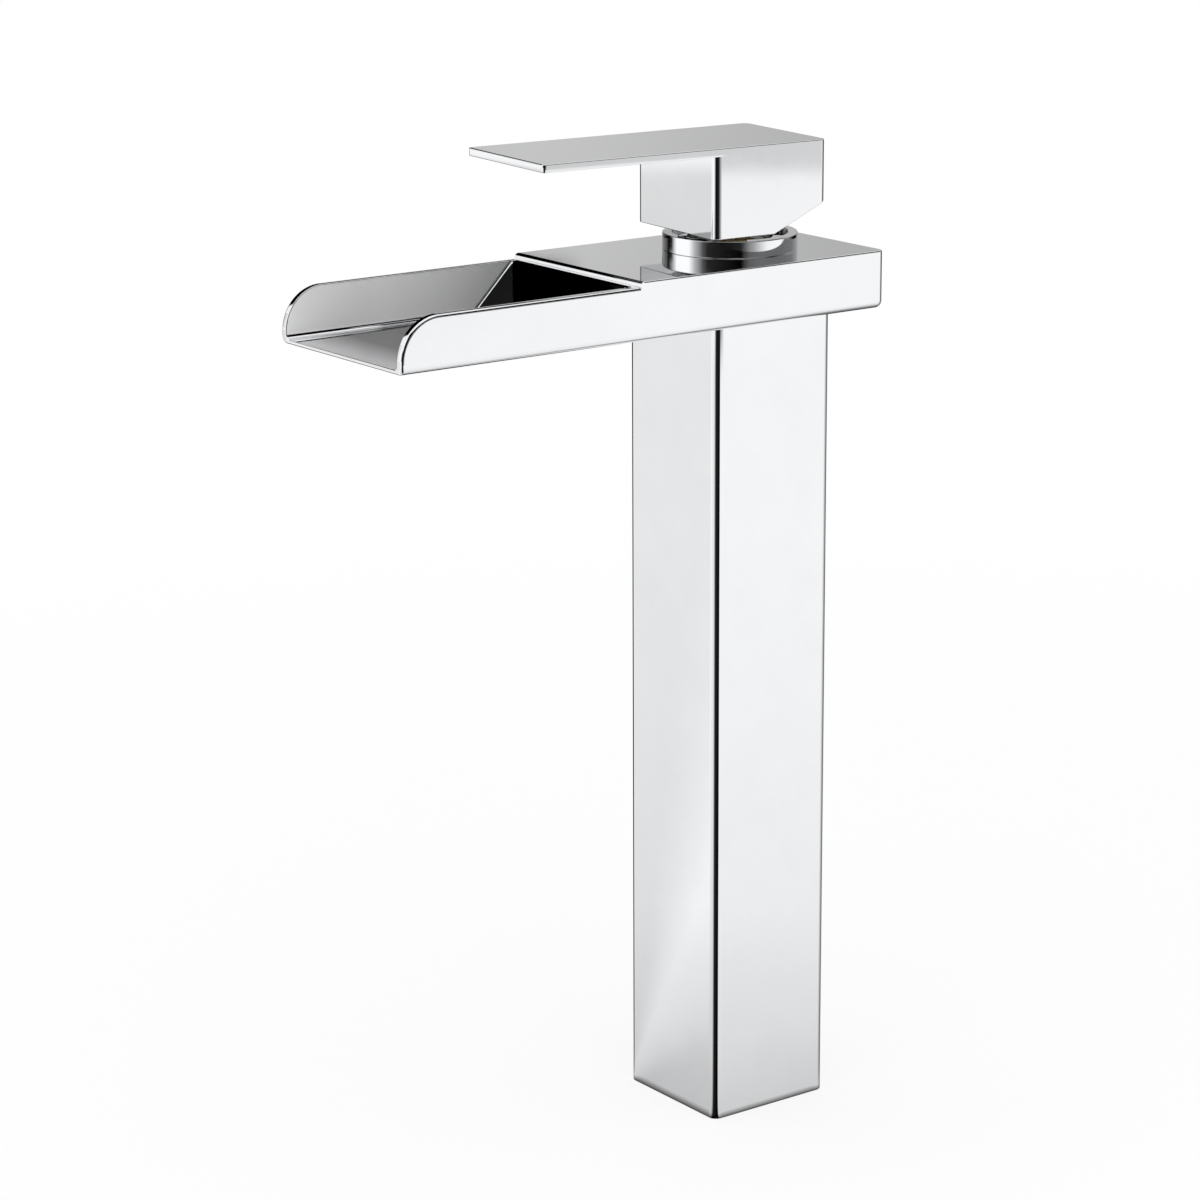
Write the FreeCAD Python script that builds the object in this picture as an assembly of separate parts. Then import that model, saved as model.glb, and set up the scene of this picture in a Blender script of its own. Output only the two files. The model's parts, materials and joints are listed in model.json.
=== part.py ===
"""Tall waterfall basin mixer: a square column, a flat box head with an open trough, and one lever.

The frame: +Z is up, -Y is the way the water leaves, and +X is on the right of someone at the basin.
The origin is the middle of the column's foot, on the deck. All sizes are in millimetres.

From the foot up: the column is a square tube that stands on a foot plate with two stud holes and one
hose opening. A brass valve body fills the top of the tube and stands in the box head. It holds a
ceramic disc cartridge of the common 35 mm size, which a ring nut clamps. Water rises past the
cartridge into the closed half of the head, leaves by the slit under a sloping weir plate,
and runs down the trough as a sheet. The lever turns the cartridge's sleeve (temperature) and tilts
on its pin (flow), and the ball at its lower end pushes the upper ceramic disc over the lower one.
"""

import FreeCAD, Part
import math
import os

from FreeCAD import Vector

# ---------------------------------------------------------------- driving sizes: cartridge and valve
cartridge_diameter = 35.0
cartridge_play = 0.1          # round the cartridge in its pocket, on the radius
pocket_wall = 2.2             # brass left beside the pocket, at the middle of each side
brazing_gap = 0.2             # between the brass inserts and the inside of the column
cartridge_depth = 25.2        # from the head's top face down to the pocket's floor
port_circle_radius = 9.4      # the three water ports of the cartridge lie on this circle
inlet_angle = 30.0            # each inlet is this far in front of the line through both sides
inlet_bore_radius = 3.0
outlet_bore_radius = 3.2
hose_thread_radius = 4.5      # minor radius of the M10 x 1 hose sockets
hose_thread_depth = 10.0
socket_wall = 2.0             # brass between a hose socket's end and the pocket
gallery_radius = 3.0          # cross drilling that links the outlet to the two risers
gallery_drop = 6.0            # of its axis below the pocket's floor
gallery_floor = 3.0           # brass below the gallery
riser_radius = 2.6
riser_edge_wall = 2.2
flute_height = 5.8            # how far the risers run up the outside of the neck
flange_overhang = 3.2         # of the valve body's flange past its block
flange_thickness = 2.5
neck_radius = 20.5
mouth_step = 0.95             # the nut's thread is this much wider than the pocket, on the radius
mouth_wall = 1.15

# ---------------------------------------------------------------- driving sizes: column and foot
column_wall = 3.4
column_height = 268.4
column_edge_radius = 3.0
column_inner_radius = 0.6
foot_edge_radius = 0.4
foot_plate_thickness = 10.0
foot_opening_width = 32.0     # along X, past both hoses
foot_opening_depth = 19.0     # along Y
foot_opening_radius = 6.0
stud_hole_radius = 2.5        # tapping size of the two M6 studs
stud_spacing = 27.0
foot_seal_width = 2.2
foot_seal_thickness = 2.0
foot_seal_margin = 1.0        # brass outside the seal's groove
foot_seal_inner_radius = 1.0

# ---------------------------------------------------------------- driving sizes: box head
head_width = 67.0
head_reach = 148.3            # from the column's axis to the trough's tip
head_tail = 37.0              # from the column's axis to the rear face
head_wall = 2.8               # of the side and rear walls
head_floor_thickness = 1.4
head_wall_height = 17.1
head_edge_radius = 2.5
head_inner_radius = 1.8
rim_outer_radius = 1.0        # rounding of the trough's rim, outside
rim_inner_radius = 0.3        # and inside
trough_nose_radius = 13.5     # round the upper front corners of the trough's side walls
cover_thickness = 1.7
cover_edge_radius = 0.5
cover_lip_flat = 0.05         # left below the lip's rounding
cover_play = 0.1              # between the cover's hole and the valve body's mouth
cover_lip = 61.0              # from the column's axis to the cover's rounded front edge
weir_thickness = 1.5
weir_bend_radius = 4.0        # of the plate's outer face, under the cover's lip
weir_show = 1.0               # flat of the weir plate in front of the lip
weir_flange = 9.0             # flat of the weir plate under the cover
weir_angle = 45.0
weir_side_play = 0.1
outlet_slit = 1.4             # between the weir plate and the head's floor, over the full width

# ---------------------------------------------------------------- driving sizes: cartridge pieces
base_rim_thickness = 2.5
base_plug_thickness = 1.5
housing_wall = 1.9
housing_shoulder_height = 19.0  # above the pocket's floor, where the nut bears
housing_shoulder_thickness = 2.5
dome_radius = 13.5
dome_height = 8.0
dome_chamfer = 1.0
seal_wall = 1.25
seal_play = 0.05
locating_pin_radius = 1.5
locating_pin_length = 2.4
locating_pin_spacing = 16.0
locating_pin_y = 6.2
locating_pin_play = 0.1
base_plug_play = 0.1          # round the base's plug in the housing
disc_thickness = 3.5
disc_film = 0.05              # grease film between the two ceramic discs
fixed_disc_radius = 14.5
kidney_inner_radius = 5.6
kidney_outer_radius = 10.2
kidney_half_angle = 22.0
disc_outlet_radius = 2.8
disc_outlet_near = 2.5
moving_disc_radius = 11.0
chamber_radius = 6.6
chamber_offset = 3.4
chamber_depth = 2.3
drive_lug_width = 3.0
drive_lug_depth = 1.5
drive_lug_reach = 2.75
drive_lug_play = 0.1
carrier_overhang = 0.5
carrier_boss_width = 10.0
carrier_boss_radius = 2.0
carrier_boss_rise = 0.95      # above the ball's centre
ball_radius = 2.8
ball_play = 0.2
pivot_height = 24.2           # above the pocket's floor
lever_arm = 8.2               # from the pivot down to the ball's centre
sleeve_radius = 11.0
sleeve_play = 0.1
sleeve_flange_radius = 14.0
sleeve_flange_thickness = 2.0
sleeve_flange_play = 0.3
sleeve_rise = 1.0             # above the dome
guide_play = 0.15             # beside the carrier's boss in the sleeve's guide channel
guide_length = 18.0
sleeve_slot_length = 15.0
stop_lug_reach = 1.2
stop_lug_half_angle = 10.0
turn_limit = 50.0             # the lever turns this far each way
stop_clearance = 1.0          # degrees left between lug and stop at that limit
pin_radius = 1.25
pin_seat_play = 0.02
pin_running_play = 0.06
pin_inset = 0.6
spindle_width = 8.0
spindle_slot_play = 0.15
spindle_cheek_below = 3.8     # square part below the pivot
spindle_cheek_above = 26.8    # square part above the pivot
spindle_neck_radius = 2.2
spindle_chamfer = 0.7

# ---------------------------------------------------------------- driving sizes: nut and bonnet ring
nut_thread_play = 0.05
nut_dome_play = 0.3
nut_head_height = 4.0
nut_slot_count = 6
nut_slot_width = 3.0
nut_slot_depth = 2.0
bonnet_height = 5.5
bonnet_wall = 3.2
bonnet_play = 0.1
bonnet_chamfer = 0.4
grip_ring_section = 1.5       # square section
grip_ring_play = 0.05         # round it in the nut's groove
grip_ring_height = 1.3        # of its lower face above the cover

# ---------------------------------------------------------------- driving sizes: lever handle
handle_gap = 1.8              # between the bonnet ring and the block
lever_rest_turn = -4.3        # the lever is drawn as photographed, turned a little to the left
block_width = 45.6
block_front = 20.8            # from the column's axis, as are the next two
block_rear = 21.7
block_height = 28.8
block_edge_radius = 2.5
lever_reach = 83.4
lever_thickness = 2.6
lever_corner_radius = 1.1
handle_rim_radius = 0.35
relief_start = 1.7            # behind the axis, where the underside starts to rise
relief_angle = 24.8
handle_wall = 4.0             # between the block's hollow and its front face
handle_roof = 9.0
boss_radius = 8.0
boss_recess = 2.5             # of the boss's lower end above the block's underside
socket_play = 0.05
socket_headroom = 1.0
screw_height = 14.5           # of the set screw's axis above the block's underside
screw_radius = 2.45
screw_thread_play = 0.05
screw_length = 8.0
screw_chamfer = 0.4
screw_web_radius = 4.6
key_width = 2.5
key_depth = 3.0
plug_radius = 3.2
plug_play = 0.05
plug_depth = 3.0
plug_dome = 0.35

# ---------------------------------------------------------------- sizes that follow
pocket_radius = cartridge_diameter / 2 + cartridge_play
block_half = pocket_radius + pocket_wall
bore_half = block_half + brazing_gap
column_half = bore_half + column_wall

head_floor = column_height + head_floor_thickness
cover_bottom = column_height + head_wall_height
cover_top = cover_bottom + cover_thickness
bonnet_top = cover_top + bonnet_height
handle_bottom = bonnet_top + handle_gap
handle_top = handle_bottom + block_height
head_inner_half = head_width / 2 - head_wall

pocket_floor = cover_top - cartridge_depth
socket_end = pocket_floor - socket_wall
gallery_z = pocket_floor - gallery_drop
valve_bottom = min(socket_end - hose_thread_depth, gallery_z - gallery_radius - gallery_floor)
flange_top = head_floor + flange_thickness
riser_xy = block_half - riser_edge_wall - riser_radius

base_top = pocket_floor + base_rim_thickness + base_plug_thickness
fixed_disc_top = base_top + disc_thickness
moving_disc_bottom = fixed_disc_top + disc_film
moving_disc_top = moving_disc_bottom + disc_thickness
shoulder_top = pocket_floor + housing_shoulder_height
shoulder_bottom = shoulder_top - housing_shoulder_thickness
dome_top = shoulder_top + dome_height
housing_radius = cartridge_diameter / 2 - cartridge_play
housing_bore = housing_radius - housing_wall
pivot_z = pocket_floor + pivot_height
ball_z = pivot_z - lever_arm
boss_floor = ball_z - ball_radius - ball_play
sleeve_flange_top = shoulder_bottom - sleeve_flange_play
sleeve_flange_bottom = sleeve_flange_top - sleeve_flange_thickness
sleeve_top = dome_top + sleeve_rise
seal_radius = inlet_bore_radius + seal_wall
nut_thread_radius = pocket_radius + mouth_step - nut_thread_play
bonnet_bore = nut_thread_radius + bonnet_play
bonnet_radius = bonnet_bore + bonnet_wall
grip_ring_bore = bonnet_bore - grip_ring_section
grip_ring_z = cover_top + grip_ring_height
screw_z = handle_bottom + screw_height


def inlet_place(side):
    """Centre of the hot (side -1) or cold (side 1) inlet on the port circle."""
    angle = math.radians(inlet_angle)
    return Vector(side * port_circle_radius * math.cos(angle), -port_circle_radius * math.sin(angle), 0)


OUTLET = Vector(0, port_circle_radius, 0)
UP = Vector(0, 0, 1)
ACROSS = Vector(1, 0, 0)
BACK = Vector(0, 1, 0)


# ---------------------------------------------------------------- helpers
def cylinder(radius, z_low, z_high, centre=Vector(0, 0, 0)):
    """Upright cylinder between two heights."""
    return Part.makeCylinder(radius, z_high - z_low, Vector(centre.x, centre.y, z_low), UP)


def tube(outer, inner, z_low, z_high, centre=Vector(0, 0, 0)):
    """Upright tube between two heights."""
    return cylinder(outer, z_low, z_high, centre).cut(cylinder(inner, z_low, z_high, centre))


def box(x_low, x_high, y_low, y_high, z_low, z_high):
    """Box between two corners."""
    return Part.makeBox(x_high - x_low, y_high - y_low, z_high - z_low, Vector(x_low, y_low, z_low))


def rounded_prism(half_x, half_y, radius, z_low, z_high):
    """Upright prism on a rectangle centred on the axis, with its four upright edges rounded."""
    solid = box(-half_x, half_x, -half_y, half_y, z_low, z_high)
    upright = [e for e in solid.Edges if abs(e.tangentAt(e.FirstParameter).z) > 0.99]
    return solid.makeFillet(radius, upright)


def face_prism(points, direction):
    """Prism of a closed outline of straight sides."""
    return Part.Face(Part.makePolygon(points + [points[0]])).extrude(direction)


def edges_where(solid, test):
    """The solid's edges whose middle point passes the test."""
    return [e for e in solid.Edges if test(e.valueAt((e.FirstParameter + e.LastParameter) / 2), e)]


def sector(inner, outer, start_angle, end_angle, z_low, z_high):
    """Piece of a tube between two angles, in degrees from +X."""
    corners = [Vector(inner, 0, z_low), Vector(outer, 0, z_low), Vector(outer, 0, z_high), Vector(inner, 0, z_high)]
    profile = Part.Face(Part.makePolygon(corners + corners[:1]))
    solid = profile.revolve(Vector(0, 0, 0), UP, end_angle - start_angle)
    solid.rotate(Vector(0, 0, 0), UP, start_angle)
    return solid


def near(a, b, tolerance=1e-4):
    """True if two lengths agree."""
    return abs(a - b) < tolerance


# ---------------------------------------------------------------- column and foot
def column_shell():
    """Square tube with rounded upright edges and a softened foot edge."""
    outer = rounded_prism(column_half, column_half, column_edge_radius, 0, column_height)
    foot = edges_where(outer, lambda p, e: near(p.z, 0))
    outer = outer.makeFillet(foot_edge_radius, foot)
    return outer.cut(rounded_prism(bore_half, bore_half, column_inner_radius, 0, column_height))


def seal_ring(outer_half, width, z_low, z_high):
    """Square ring with rounded corners, as the foot seal and its groove have."""
    outer_radius = width + foot_seal_inner_radius
    outer = rounded_prism(outer_half, outer_half, outer_radius, z_low, z_high)
    inner_half = outer_half - width
    return outer.cut(rounded_prism(inner_half, inner_half, outer_radius - width, z_low, z_high))


def foot_plate():
    """Brass plate in the column's foot: two stud holes, the hose opening and the seal's groove."""
    plate = rounded_prism(block_half, block_half, column_inner_radius, 0, foot_plate_thickness)
    opening = rounded_prism(foot_opening_width / 2, foot_opening_depth / 2, foot_opening_radius,
                            0, foot_plate_thickness)
    plate = plate.cut(opening)
    for side in (-1, 1):
        place = Vector(0, side * stud_spacing / 2, 0)
        plate = plate.cut(cylinder(stud_hole_radius, 0, foot_plate_thickness, place))
    return plate.cut(foot_seal())


def foot_seal():
    """Square rubber ring, flush with the foot."""
    return seal_ring(block_half - foot_seal_margin, foot_seal_width, 0, foot_seal_thickness)


# ---------------------------------------------------------------- box head
def head_blank(y_low, y_high, rounded_tail):
    """The head's outer block up to the walls' top, with its lower edges and its tail rounded."""
    half = head_width / 2
    block = box(-half, half, y_low, y_high, column_height, cover_bottom)

    def rounded(p, e):
        along = near(p.z, column_height) and near(abs(p.x), half)
        tail = rounded_tail and near(p.y, y_high) and (near(p.z, column_height) or near(abs(p.x), half))
        return along or tail

    return block.makeFillet(head_edge_radius, edges_where(block, rounded))


def head_cavity(y_low, y_high):
    """The space inside the head's walls, with rounded lower corners."""
    cavity = box(-head_inner_half, head_inner_half, y_low, y_high, head_floor, cover_bottom)
    corners = edges_where(cavity, lambda p, e: near(p.z, head_floor) and near(abs(p.x), head_inner_half))
    return cavity.makeFillet(head_inner_radius, corners)


def trough():
    """Open front half of the channel: side walls with a rounded nose and a rounded rim."""
    half = head_width / 2
    shape = head_blank(-head_reach, -cover_lip, False)
    shape = shape.cut(head_cavity(-head_reach, -cover_lip))
    nose_y = -head_reach + trough_nose_radius
    nose_z = cover_bottom - trough_nose_radius
    corner = box(-half, half, -head_reach, nose_y, nose_z, cover_bottom)
    quarter = Part.makeCylinder(trough_nose_radius, 2 * half, Vector(-half, nose_y, nose_z), ACROSS)
    shape = shape.cut(corner.cut(quarter))

    def on_rim(p, e):
        behind = near(p.y, -cover_lip)
        top = near(p.z, cover_bottom) and not near(abs(p.x), half - head_wall / 2)
        front = near(p.y, -head_reach)
        nose = e.Curve.TypeId == "Part::GeomCircle" and abs(e.Curve.Axis.x) > 0.99
        return (top or front or nose) and not behind

    def outside(p):
        return abs(p.x) > half - head_wall / 2 or p.z < head_floor - head_floor_thickness / 2

    shape = shape.makeFillet(rim_outer_radius, edges_where(shape, lambda p, e: on_rim(p, e) and outside(p)))
    return shape.makeFillet(rim_inner_radius, edges_where(shape, lambda p, e: on_rim(p, e) and not outside(p)))


def spout_channel():
    """Floor, side walls and rear wall of the head, with the square hole over the column."""
    rear = head_blank(-cover_lip, head_tail, True)
    rear = rear.cut(head_cavity(-cover_lip, head_tail - head_wall))
    rear = rear.cut(rounded_prism(bore_half, bore_half, column_inner_radius, column_height, head_floor))
    return rear.fuse(trough()).removeSplitter()


def cover_plate():
    """Top of the closed half: a rounded lip in front, and a hole for the valve body's mouth."""
    half = head_width / 2
    plate = box(-half, half, -cover_lip, head_tail, cover_bottom, cover_top)
    upright = edges_where(plate, lambda p, e: near(p.y, head_tail) and near(abs(p.x), half))
    plate = plate.makeFillet(head_edge_radius, upright)
    lip = edges_where(plate, lambda p, e: near(p.y, -cover_lip) and near(p.z, cover_top))
    plate = plate.makeFillet(cover_thickness - cover_lip_flat, lip)
    arris = edges_where(plate, lambda p, e: near(p.z, cover_top) and p.y > -cover_lip + cover_thickness)
    plate = plate.makeFillet(cover_edge_radius, arris)
    mouth = nut_thread_radius + nut_thread_play + mouth_wall + cover_play
    return plate.cut(cylinder(mouth, cover_bottom, cover_top))


def weir_plate():
    """Bent plate that closes the head: flat under the cover, then sloping down to a slit at the floor."""
    slope = math.radians(weir_angle)
    bend_y = -cover_lip - weir_show
    bend_z = cover_bottom - weir_bend_radius
    inner_radius = weir_bend_radius - weir_thickness

    def on_bend(radius, angle):
        return Vector(0, bend_y - radius * math.sin(angle), bend_z + radius * math.cos(angle))

    def foot_of(start):
        foot_z = head_floor + outlet_slit
        return Vector(0, start.y - (start.z - foot_z) / math.tan(slope), foot_z)

    outer = [on_bend(weir_bend_radius, a) for a in (0, slope / 2, slope)]
    inner = [on_bend(inner_radius, a) for a in (slope, slope / 2, 0)]
    back_y = -cover_lip + weir_flange
    flange_top_point = Vector(0, back_y, cover_bottom)
    flange_low_point = Vector(0, back_y, cover_bottom - weir_thickness)
    outer_foot = foot_of(outer[2])
    inner_foot = foot_of(inner[0])
    outline = [
        Part.makeLine(flange_top_point, outer[0]),
        Part.Arc(*outer).toShape(),
        Part.makeLine(outer[2], outer_foot),
        Part.makeLine(outer_foot, inner_foot),
        Part.makeLine(inner_foot, inner[0]),
        Part.Arc(*inner).toShape(),
        Part.makeLine(inner[2], flange_low_point),
        Part.makeLine(flange_low_point, flange_top_point),
    ]
    half = head_inner_half - weir_side_play
    face = Part.Face(Part.Wire(outline))
    face.translate(Vector(-half, 0, 0))
    return face.extrude(Vector(2 * half, 0, 0))


# ---------------------------------------------------------------- valve body
def valve_body():
    """Brass body: the cartridge's pocket, two hose sockets, and the outlet's gallery and risers."""
    body = rounded_prism(block_half, block_half, column_inner_radius, valve_bottom, head_floor)
    flange_half = block_half + flange_overhang
    body = body.fuse(rounded_prism(flange_half, flange_half, flange_overhang, head_floor, flange_top))
    body = body.fuse(cylinder(neck_radius, flange_top, cover_bottom))
    mouth_radius = nut_thread_radius + nut_thread_play
    body = body.fuse(cylinder(mouth_radius + mouth_wall, cover_bottom, cover_top))
    body = body.cut(cylinder(pocket_radius, pocket_floor, cover_top))
    body = body.cut(cylinder(mouth_radius, shoulder_top, cover_top))
    for side in (-1, 1):
        place = inlet_place(side)
        body = body.cut(cylinder(inlet_bore_radius, socket_end, pocket_floor, place))
        body = body.cut(cylinder(hose_thread_radius, valve_bottom, socket_end, place))
        pin_place = Vector(side * locating_pin_spacing / 2, locating_pin_y, 0)
        hole_bottom = pocket_floor - locating_pin_length - locating_pin_play
        body = body.cut(cylinder(locating_pin_radius + locating_pin_play, hole_bottom, pocket_floor, pin_place))
        riser_place = Vector(side * riser_xy, riser_xy, 0)
        body = body.cut(cylinder(riser_radius, gallery_z, flange_top + flute_height, riser_place))
    body = body.cut(cylinder(outlet_bore_radius, gallery_z, pocket_floor, OUTLET))
    gallery_y = (port_circle_radius + riser_xy) / 2
    start = Vector(-riser_xy, gallery_y, gallery_z)
    return body.cut(Part.makeCylinder(gallery_radius, 2 * riser_xy, start, ACROSS))


# ---------------------------------------------------------------- cartridge
def cartridge_base():
    """Plastic foot of the cartridge: three ports, a plug inside the housing and two locating pins."""
    rim_top = pocket_floor + base_rim_thickness
    base = cylinder(housing_radius, pocket_floor, rim_top)
    base = base.fuse(cylinder(housing_bore - base_plug_play, rim_top, base_top))
    for side in (-1, 1):
        pin_place = Vector(side * locating_pin_spacing / 2, locating_pin_y, 0)
        base = base.fuse(cylinder(locating_pin_radius, pocket_floor - locating_pin_length, pocket_floor, pin_place))
    for place in (inlet_place(-1), inlet_place(1), OUTLET):
        base = base.cut(cylinder(seal_radius + seal_play, pocket_floor, base_top, place))
    return base


def port_seal(place):
    """Rubber sleeve in one of the base's ports, from the brass below to the disc above."""
    return tube(seal_radius, inlet_bore_radius, pocket_floor, base_top, place)


def fixed_disc():
    """Lower ceramic disc: two kidney inlets in front and one long outlet behind."""
    disc = cylinder(fixed_disc_radius, base_top, fixed_disc_top)
    for middle in (180 + inlet_angle, 360 - inlet_angle):
        kidney = sector(kidney_inner_radius, kidney_outer_radius, middle - kidney_half_angle,
                        middle + kidney_half_angle, base_top, fixed_disc_top)
        disc = disc.cut(kidney)
    near_end = Vector(0, disc_outlet_near, 0)
    for place in (near_end, OUTLET):
        disc = disc.cut(cylinder(disc_outlet_radius, base_top, fixed_disc_top, place))
    return disc.cut(box(-disc_outlet_radius, disc_outlet_radius, near_end.y, OUTLET.y, base_top, fixed_disc_top))


def drive_lugs(play):
    """The two lugs that turn the moving disc with its carrier, or their notches with play."""
    half = drive_lug_width / 2 + play
    inner = moving_disc_radius - drive_lug_depth - play
    low = moving_disc_top - drive_lug_reach - play
    lugs = box(inner, moving_disc_radius + carrier_overhang, -half, half, low, moving_disc_top)
    return lugs.fuse(box(-moving_disc_radius - carrier_overhang, -inner, -half, half, low, moving_disc_top))


def moving_disc():
    """Upper ceramic disc, with the mixing chamber in its underside and a notch at each side."""
    disc = cylinder(moving_disc_radius, moving_disc_bottom, moving_disc_top)
    chamber_place = Vector(0, chamber_offset, 0)
    chamber = cylinder(chamber_radius, moving_disc_bottom, moving_disc_bottom + chamber_depth, chamber_place)
    return disc.cut(chamber).cut(drive_lugs(drive_lug_play))


def disc_carrier():
    """Plastic slider on the moving disc: two drive lugs below, and above a socket for the ball."""
    plate = cylinder(moving_disc_radius + carrier_overhang, moving_disc_top, boss_floor)
    half = carrier_boss_width / 2
    boss = rounded_prism(half, half, carrier_boss_radius, boss_floor, ball_z + carrier_boss_rise)
    lugs = drive_lugs(0).common(cylinder(moving_disc_radius, moving_disc_bottom, moving_disc_top))
    socket = cylinder(ball_radius + ball_play, boss_floor, ball_z + carrier_boss_rise)
    return plate.fuse(boss).fuse(lugs).cut(socket)


def cartridge_housing():
    """Plastic cup over the discs: a shoulder under the nut, a dome round the sleeve, and turn stops."""
    cup = cylinder(housing_radius, pocket_floor + base_rim_thickness, shoulder_top)
    cup = cup.fuse(cylinder(dome_radius, shoulder_top, dome_top))
    cup = cup.cut(cylinder(housing_bore, pocket_floor + base_rim_thickness, shoulder_bottom))
    cup = cup.cut(cylinder(sleeve_radius + sleeve_play, shoulder_bottom, dome_top))
    rim = edges_where(cup, lambda p, e: near(p.z, dome_top) and near(math.hypot(p.x, p.y), dome_radius))
    cup = cup.makeChamfer(dome_chamfer, rim)
    free = turn_limit + stop_lug_half_angle + stop_clearance
    inner = sleeve_flange_radius + sleeve_flange_play
    stop = sector(inner, housing_bore + housing_wall / 2, 270 + free, 630 - free,
                  sleeve_flange_bottom, shoulder_bottom)
    return cup.fuse(stop)


def spindle_sleeve():
    """Turning sleeve: a barrel in the dome, a slot for the spindle, a guide for the carrier, a stop lug."""
    sleeve = cylinder(sleeve_radius, sleeve_flange_top, sleeve_top)
    sleeve = sleeve.fuse(cylinder(sleeve_flange_radius, sleeve_flange_bottom, sleeve_flange_top))
    lug = sector(sleeve_radius, sleeve_flange_radius + stop_lug_reach, 270 - stop_lug_half_angle,
                 270 + stop_lug_half_angle, sleeve_flange_bottom, sleeve_flange_top)
    sleeve = sleeve.fuse(lug)
    well_top = ball_z + carrier_boss_rise + sleeve_flange_play
    guide_half = carrier_boss_width / 2 + guide_play
    sleeve = sleeve.cut(box(-guide_half, guide_half, -guide_length / 2, guide_length / 2,
                            sleeve_flange_bottom, well_top))
    slot_half = spindle_width / 2 + spindle_slot_play
    slot = box(-slot_half, slot_half, -sleeve_slot_length / 2, sleeve_slot_length / 2, well_top, sleeve_top)
    bore = Part.makeCylinder(pin_radius + pin_seat_play, 2 * sleeve_radius,
                             Vector(-sleeve_radius, 0, pivot_z), ACROSS)
    return sleeve.cut(slot).cut(bore)


def pivot_pin():
    """Steel pin across the sleeve, on which the spindle tilts."""
    half = sleeve_radius - pin_inset
    return Part.makeCylinder(pin_radius, 2 * half, Vector(-half, 0, pivot_z), ACROSS)


def spindle():
    """Brass lever of the cartridge: square above, a tapered neck and a ball below the pivot."""
    half = spindle_width / 2
    low = pivot_z - spindle_cheek_below
    square = box(-half, half, -half, half, low, pivot_z + spindle_cheek_above)
    ends = edges_where(square, lambda p, e: not near(p.z, pivot_z, half))
    square = square.makeChamfer(spindle_chamfer, [e for e in ends if abs(e.tangentAt(e.FirstParameter).z) < 0.1])
    neck = Part.makeCone(spindle_neck_radius, half - spindle_chamfer, low - ball_z, Vector(0, 0, ball_z), UP)
    ball = Part.makeSphere(ball_radius, Vector(0, 0, ball_z))
    bore = Part.makeCylinder(pin_radius + pin_running_play, 2 * half, Vector(-half, 0, pivot_z), ACROSS)
    return square.fuse(neck).fuse(ball).cut(bore)


# ---------------------------------------------------------------- nut and bonnet ring
def retaining_nut():
    """Plated ring nut: its thread is in the valve body's mouth and its head has slots for a spanner."""
    top = cover_top + nut_head_height
    nut = tube(nut_thread_radius, dome_radius + nut_dome_play, shoulder_top, top)
    for index in range(nut_slot_count):
        slot = box(dome_radius, nut_thread_radius + nut_slot_depth, -nut_slot_width / 2, nut_slot_width / 2,
                   top - nut_slot_depth, top)
        slot.rotate(Vector(0, 0, 0), UP, index * 360 / nut_slot_count)
        nut = nut.cut(slot)
    return nut.cut(tube(bonnet_bore, grip_ring_bore - grip_ring_play, grip_ring_z - grip_ring_play,
                        grip_ring_z + grip_ring_section + grip_ring_play))


def grip_ring():
    """Rubber ring in the nut's groove, which grips the bonnet ring."""
    return tube(bonnet_bore, grip_ring_bore, grip_ring_z, grip_ring_z + grip_ring_section)


def bonnet_ring():
    """Plain ring that stands on the cover and hides the nut."""
    ring = tube(bonnet_radius, bonnet_bore, cover_top, bonnet_top)
    rims = edges_where(ring, lambda p, e: near(p.z, bonnet_top))
    return ring.makeChamfer(bonnet_chamfer, rims)


# ---------------------------------------------------------------- lever handle
def handle_outline():
    """The block and the lever as one piece, with their edges rounded and the relief behind."""
    half = block_width / 2

    def upright(solid, y):
        return edges_where(solid, lambda p, e: near(p.y, y) and abs(e.tangentAt(e.FirstParameter).z) > 0.99)

    block = box(-half, half, -block_front, block_rear, handle_bottom, handle_top)
    block = block.makeFillet(block_edge_radius, upright(block, -block_front) + upright(block, block_rear))
    relief_rise = (block_rear - relief_start) * math.tan(math.radians(relief_angle))
    relief = face_prism([Vector(-half, relief_start, handle_bottom), Vector(-half, block_rear, handle_bottom),
                         Vector(-half, block_rear, handle_bottom + relief_rise)], Vector(2 * half, 0, 0))
    block = block.cut(relief)

    lever_bottom = handle_top - lever_thickness
    lever_root = block_edge_radius - block_front
    lever = box(-half, half, -lever_reach, lever_root, lever_bottom, handle_top)
    lever = lever.makeFillet(lever_corner_radius, upright(lever, -lever_reach))
    low_rim = edges_where(lever, lambda p, e: near(p.z, lever_bottom) and not near(p.y, lever_root))
    lever = lever.makeFillet(handle_rim_radius, low_rim)

    whole = block.fuse(lever).removeSplitter()
    return whole.makeFillet(handle_rim_radius, edges_where(whole, lambda p, e: near(p.z, handle_top)))


def handle():
    """Hollow block with the lever: inside hangs a boss with a square socket and the set screw's thread."""
    body = handle_outline()
    ceiling = handle_top - handle_roof
    hollow_radius = block_front - handle_wall
    boss_bottom = handle_bottom + boss_recess
    hollow = cylinder(hollow_radius, handle_bottom, ceiling)
    web = Part.makeCylinder(screw_web_radius, hollow_radius, Vector(0, 0, screw_z), BACK)
    kept = cylinder(boss_radius, boss_bottom, ceiling).fuse(web)
    body = body.cut(hollow.cut(kept))
    socket_half = spindle_width / 2 + socket_play
    socket_top = pivot_z + spindle_cheek_above + socket_headroom
    body = body.cut(box(-socket_half, socket_half, -socket_half, socket_half, handle_bottom, socket_top))
    thread = Part.makeCylinder(screw_radius + screw_thread_play, block_rear, Vector(0, 0, screw_z), BACK)
    seat = Part.makeCylinder(plug_radius + plug_play, plug_depth, Vector(0, block_rear - plug_depth, screw_z), BACK)
    return body.cut(thread).cut(seat)


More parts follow.
